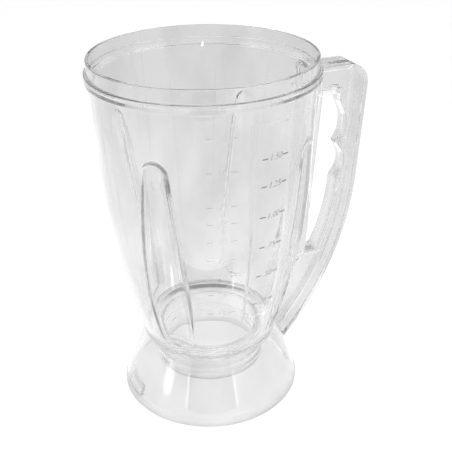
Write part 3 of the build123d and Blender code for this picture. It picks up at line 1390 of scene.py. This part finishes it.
@dataclass
class Studio:
    """White floor, soft panels on both sides of the camera, and a room with a white wall."""

    floor_size: float = 8.0
    floor_drop: float = 0.0003
    paper_tone: float = 0.8
    paper_roughness: float = 0.9
    paper_gloss: float = 0.1
    floor_glow: float = 0.49
    # Glow that reflections and views through the plastic see, brighter near the jar: a painted pool of
    # light over the jar's shadow.
    floor_glow_mirrored: tuple[float, float] = (0.92, 0.72)
    floor_glow_through: tuple[float, float] = (0.26, 0.18)
    floor_glow_reach: tuple[float, float] = (0.22, 0.62)
    # Painted patches of light in the glow that reflections see on the floor.
    reflected_glow_patch_scale: float = 6.0
    reflected_glow_patch_detail: float = 2.0
    reflected_glow_patch_ends: tuple[float, float] = (0.35, 0.65)
    reflected_glow_patch_range: tuple[float, float] = (0.72, 1.14)
    room_level: float = 0.60
    wall_level: float = 1.0
    ceiling_level: float = 0.35
    mirrored_level: float = 0.33
    wall_top: tuple[float, float] = (0.55, 0.85)
    panel_power: float = 1.2
    panel_size: tuple[float, float] = (0.55, 0.8)
    panel_distance: float = 0.85
    panel_height: float = 0.45
    panel_aim: float = 0.11
    panel_turn: float = math.radians(62.0)
    # Dark sheets that only reflections show: painted dark reflections.
    dark_reflection_tone: float = 0.03
    dark_reflection_roughness: float = 0.95
    mat_reach: tuple[float, float] = (0.52, 0.90)
    mat_width: float = 0.28
    card_reach: float = 0.135
    card_width: float = 0.124
    card_tall: float = 0.04
    flash_power: float = 0.8
    flash_radius: float = 0.007
    flash_place: tuple[float, float] = (0.44, 0.40)
    catch_turns: tuple[float, ...] = (math.radians(-26.0), math.radians(26.0))
    catch_size: tuple[float, float] = (0.0045, 0.026)
    catch_level: float = 3.2
    blob_turn: float = math.radians(-50.0)
    blob_sizes: tuple[tuple[float, float], ...] = ((0.034, 0.030), (0.024, 0.024), (0.013, 0.016))
    blob_spacing: float = 0.001
    blob_level: float = 1.9

    def floor(self) -> None:
        """The floor, which shows white to the camera and keeps the jar's shadow. Reflections and views
        through the plastic see it glow brighter near the jar, a painted pool of light over the jar's
        shadow, and reflections see painted patches of light in it.
        """
        half = self.floor_size / 2.0
        square = ((-half, -half), (half, -half), (half, half), (-half, half))
        corners = np.array([(x, y, -self.floor_drop) for x, y in square])
        material = bpy.data.materials.new("studio_floor")
        floor = new_object("studio_floor", mesh_from("studio_floor", corners, [range(4)]), material)
        material.use_nodes = True
        tree = material.node_tree
        paper = tree.nodes["Principled BSDF"]
        set_inputs(paper, {
            "Base Color": grey(self.paper_tone),
            "Roughness": self.paper_roughness,
            "Specular IOR Level": self.paper_gloss,
            "Emission Color": grey(1.0),
        })
        path, place = add_node(tree, "ShaderNodeLightPath"), add_node(tree, "ShaderNodeTexCoord")
        reach = add_node(tree, "ShaderNodeVectorMath", operation="LENGTH")
        # Brighter glow near the jar for reflections and views through the plastic: a painted pool of light
        # that lifts the jar's shadow.
        through_level = add_ramp(tree, self.floor_glow_reach, self.floor_glow_through)
        mirrored_level = add_ramp(tree, self.floor_glow_reach, self.floor_glow_mirrored)
        # Reflections see the floor's glow in painted patches of light; clouded is that patchy reflected
        # glow.
        reflected_glow_patch_values = {"Scale": self.reflected_glow_patch_scale, "Detail": self.reflected_glow_patch_detail}
        reflected_glow_patches = add_node(tree, "ShaderNodeTexNoise", reflected_glow_patch_values)
        uneven = add_ramp(tree, self.reflected_glow_patch_ends, self.reflected_glow_patch_range)
        clouded = add_node(tree, "ShaderNodeMath", operation="MULTIPLY")
        direct = add_node(tree, "ShaderNodeMath", {1: self.floor_glow}, "MULTIPLY")
        through = add_node(tree, "ShaderNodeMath", operation="MULTIPLY_ADD")
        glow = add_node(tree, "ShaderNodeMath", operation="MULTIPLY_ADD")
        wire(
            tree,
            (place, "Object", reach, 0),
            (reach, "Value", through_level, "Value"),
            (reach, "Value", mirrored_level, "Value"),
            (place, "Object", reflected_glow_patches, "Vector"),
            (reflected_glow_patches, "Fac", uneven, "Value"),
            (uneven, "Result", clouded, 0),
            (mirrored_level, "Result", clouded, 1),
            (path, "Is Camera Ray", direct, 0),
            (path, "Is Transmission Ray", through, 0),
            (through_level, "Result", through, 1),
            (direct, "Value", through, 2),
            (self.mirrored(tree, path), "Value", glow, 0),
            (clouded, "Value", glow, 1),
            (through, "Value", glow, 2),
            (glow, "Value", paper, "Emission Strength"),
        )

    def mirrored(self, tree: bpy.types.NodeTree, path: bpy.types.Node) -> bpy.types.Node:
        """Whether a ray comes straight off a polished face, and not through the plastic.

        Args:
            tree: The nodes of the material or world that asks.
            path: Its Light Path node.

        Returns:
            A node whose Value is 1 for such a ray and 0 for all others.
        """
        off = add_node(tree, "ShaderNodeMath", operation="SUBTRACT")
        off.use_clamp = True
        wire(tree, (path, "Is Glossy Ray", off, 0), (path, "Is Transmission Ray", off, 1))
        return off

    def black_cloth(self) -> bpy.types.Material:
        """A dark sheet that only reflections show: a painted dark reflection.

        Returns:
            Its material.
        """
        material = bpy.data.materials.new("studio_black_cloth")
        material.use_nodes = True
        tree = material.node_tree
        cloth, out = tree.nodes["Principled BSDF"], tree.nodes["Material Output"]
        set_inputs(cloth, {"Base Color": grey(self.dark_reflection_tone), "Roughness": self.dark_reflection_roughness})
        path, mix = add_node(tree, "ShaderNodeLightPath"), add_node(tree, "ShaderNodeMixShader")
        absent = add_node(tree, "ShaderNodeBsdfTransparent")
        wire(
            tree,
            (self.mirrored(tree, path), "Value", mix, "Fac"),
            (absent, "BSDF", mix, 1),
            (cloth, "BSDF", mix, 2),
            (mix, "Shader", out, "Surface"),
        )
        return material

    def painted_dark_reflections(self, azimuth: float) -> None:
        """A dark mat on the floor under the camera and a low dark card in front of the skirt, seen only in
        reflections: painted dark reflections.

        Args:
            azimuth: Where the camera stands, as an angle about the jar's axis.
        """
        material = self.black_cloth()
        near, far = self.mat_reach
        mat, card = self.mat_width / 2.0, self.card_width / 2.0
        low, high, reach = self.floor_drop, self.card_tall, self.card_reach
        outlines = {
            "studio_mat": ((near, -mat, low), (far, -mat, low), (far, mat, low), (near, mat, low)),
            "studio_card": (
                (reach, -card, low), (reach, card, low), (reach, card, high), (reach, -card, high),
            ),
        }
        for name, outline in outlines.items():
            sheet = new_object(name, mesh_from(name, np.array(outline), [range(4)]), material)
            sheet.data.transform(Matrix.Rotation(azimuth, 4, "Z"))
            sheet.visible_shadow = False

    def flash(self, azimuth: float) -> None:
        """A small lamp just above the camera, which gives the small bright highlights.

        Args:
            azimuth: Where the camera stands, as an angle about the jar's axis.
        """
        lamp = bpy.data.lights.new("flash", "POINT")
        lamp.energy = self.flash_power
        lamp.shadow_soft_size = self.flash_radius
        flash = bpy.data.objects.new("flash", lamp)
        flash.location = around(azimuth, *self.flash_place)
        bpy.context.scene.collection.objects.link(flash)

    def catch_lights(self, azimuth: float) -> None:
        """Small low lamps beside the black card, whose reflections the skirt shows.

        Args:
            azimuth: Where the camera stands, as an angle about the jar's axis.
        """
        strips = [
            (turn, self.catch_size, self.catch_level, LampShape.RECTANGLE, 0.0) for turn in self.catch_turns
        ]
        blobs = [
            (self.blob_turn, size, self.blob_level, LampShape.ELLIPSE, self.blob_spacing * index)
            for index, size in enumerate(self.blob_sizes)
        ]
        height = max(tall for _, tall in self.blob_sizes) / 2.0
        for turn, size, level, shape, nearer in strips + blobs:
            power = level * math.pi * size[0] * size[1] * shape.value
            place = around(azimuth + turn, self.card_reach - nearer, height)
            aim = -around(azimuth + turn, 1.0, 0.0)
            light = add_area_lamp("catch_light", shape, size, power, place, aim)
            light.visible_camera = False
            light.visible_diffuse = False
            light.visible_transmission = False

    def room(self) -> None:
        """The room: even light on all it holds, and a white wall under a darker ceiling to look at."""
        world = bpy.data.worlds.new("studio_room")
        world.use_nodes = True
        tree = world.node_tree
        sky = tree.nodes["Background"]
        set_inputs(sky, {"Color": grey(1.0)})
        path, place = add_node(tree, "ShaderNodeLightPath"), add_node(tree, "ShaderNodeTexCoord")
        split = add_node(tree, "ShaderNodeSeparateXYZ")
        shown = add_ramp(tree, self.wall_top, (self.wall_level, self.ceiling_level))
        reflected = add_node(tree, "ShaderNodeMapRange", {"To Max": self.mirrored_level})
        level = add_node(tree, "ShaderNodeMapRange", {"To Max": self.room_level})
        wire(
            tree,
            (place, "Generated", split, "Vector"),
            (split, "Z", shown, "Value"),
            (self.mirrored(tree, path), "Value", reflected, "Value"),
            (shown, "Result", reflected, "To Min"),
            (path, "Is Diffuse Ray", level, "Value"),
            (reflected, "Result", level, "To Min"),
            (level, "Result", sky, "Strength"),
        )
        bpy.context.scene.world = world

    def panel(self, name: str, azimuth: float) -> None:
        """A soft panel that faces the jar.

        Args:
            name: The lamp's name.
            azimuth: Where it stands, as an angle about the jar's axis.
        """
        place = around(azimuth, self.panel_distance, self.panel_height)
        aim = Vector((0.0, 0.0, self.panel_aim)) - place
        add_area_lamp(name, LampShape.RECTANGLE, self.panel_size, self.panel_power, place, aim)

    def build(self, camera_azimuth: float) -> None:
        """Floor, the painted dark reflections, flash, catch lights, room and both panels.

        Args:
            camera_azimuth: Where the camera stands, as an angle about the jar's axis.
        """
        self.floor()
        self.painted_dark_reflections(camera_azimuth)
        self.flash(camera_azimuth)
        self.catch_lights(camera_azimuth)
        self.room()
        self.panel("panel_left", camera_azimuth - self.panel_turn)
        self.panel("panel_right", camera_azimuth + self.panel_turn)


@dataclass
class PhotoCamera:
    """The camera at the photograph's viewing angle."""

    azimuth: float = math.radians(-109.0)
    distance: float = 0.42505
    height: float = 0.34539
    pitch: float = 0.49848
    yaw: float = 0.027935
    roll: float = -0.012058
    focal_pixels: float = 760.0
    frame_pixels: float = 452.0
    sensor: float = 36.0
    nearest: float = 0.01

    def build(self) -> None:
        """The camera, set as the scene's own."""
        heading = self.azimuth + math.pi - self.yaw
        level = math.cos(self.pitch)
        ahead = Vector((math.cos(heading) * level, math.sin(heading) * level, -math.sin(self.pitch)))
        right = Vector((math.sin(heading), -math.cos(heading), 0.0))
        up = right.cross(ahead)
        across = math.cos(self.roll) * right + math.sin(self.roll) * up
        upright = math.cos(self.roll) * up - math.sin(self.roll) * right
        lens = bpy.data.cameras.new("photo_camera")
        lens.sensor_fit = "HORIZONTAL"
        lens.sensor_width = self.sensor
        lens.lens = self.sensor * self.focal_pixels / self.frame_pixels
        lens.clip_start = self.nearest
        camera = bpy.data.objects.new("photo_camera", lens)
        turn = Matrix((across, upright, -ahead)).transposed().to_4x4()
        place = around(self.azimuth, self.distance, self.height)
        camera.matrix_world = Matrix.Translation(place) @ turn
        bpy.context.scene.collection.objects.link(camera)
        bpy.context.scene.camera = camera


# The whole jar


def dress(piece: bpy.types.Object) -> None:
    """Shades a piece smoothly, with its large faces leading, and sets it on the jar's body.

    Args:
        piece: The finished piece.
    """
    piece.data.shade_smooth()
    piece.data.set_sharp_from_angle(angle=SMOOTH_ANGLE)
    weighted = piece.modifiers.new("large_faces_lead", "WEIGHTED_NORMAL")
    weighted.keep_sharp = True
    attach(piece, BODY)


def report(stage: str, piece: bpy.types.Object) -> None:
    """Logs how far a piece is built and how many triangles it has."""
    piece.data.calc_loop_triangles()
    LOG.info("%s %s: %d triangles", piece.name, stage, len(piece.data.loop_triangles))


def main() -> None:
    """Builds the jar, its scales, the stage and the camera."""
    logging.basicConfig(level=logging.INFO, format="%(name)s %(message)s")
    plastic, relief = JAR_FINISH.material(), MARK_FINISH.material()
    body = JarBody()
    jar = body.build(plastic)
    report("turned body", jar)
    fuse(jar, Handle(body).build(plastic))
    report("with its handle", jar)
    fuse(jar, SkirtLugs(body).build(plastic))
    report("with its lugs", jar)
    litres = WallScale("plaque_scale", body, LITRE_MARKS, LITRE_AZIMUTH, body.plaque_proud)
    front = WallScale(
        "front_scale", body, FRONT_MARKS, FRONT_AZIMUTH, base=0.0, gap=FRONT_GAP, proud=FRONT_PROUD
    )
    fuse(jar, [litres.build(relief), front.build(plastic)])
    report("with its scales", jar)
    dress(jar)
    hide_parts(NODE)
    camera = PhotoCamera()
    camera.build()
    Studio().build(camera.azimuth)
    scene = bpy.context.scene
    scene.view_settings.view_transform = "Standard"
    scene.cycles.max_bounces = LIGHT_BOUNCES
    scene.cycles.transmission_bounces = LIGHT_BOUNCES
    scene.cycles.glossy_bounces = LIGHT_BOUNCES
    scene.cycles.transparent_max_bounces = LIGHT_BOUNCES


if __name__ == "__main__":
    main()
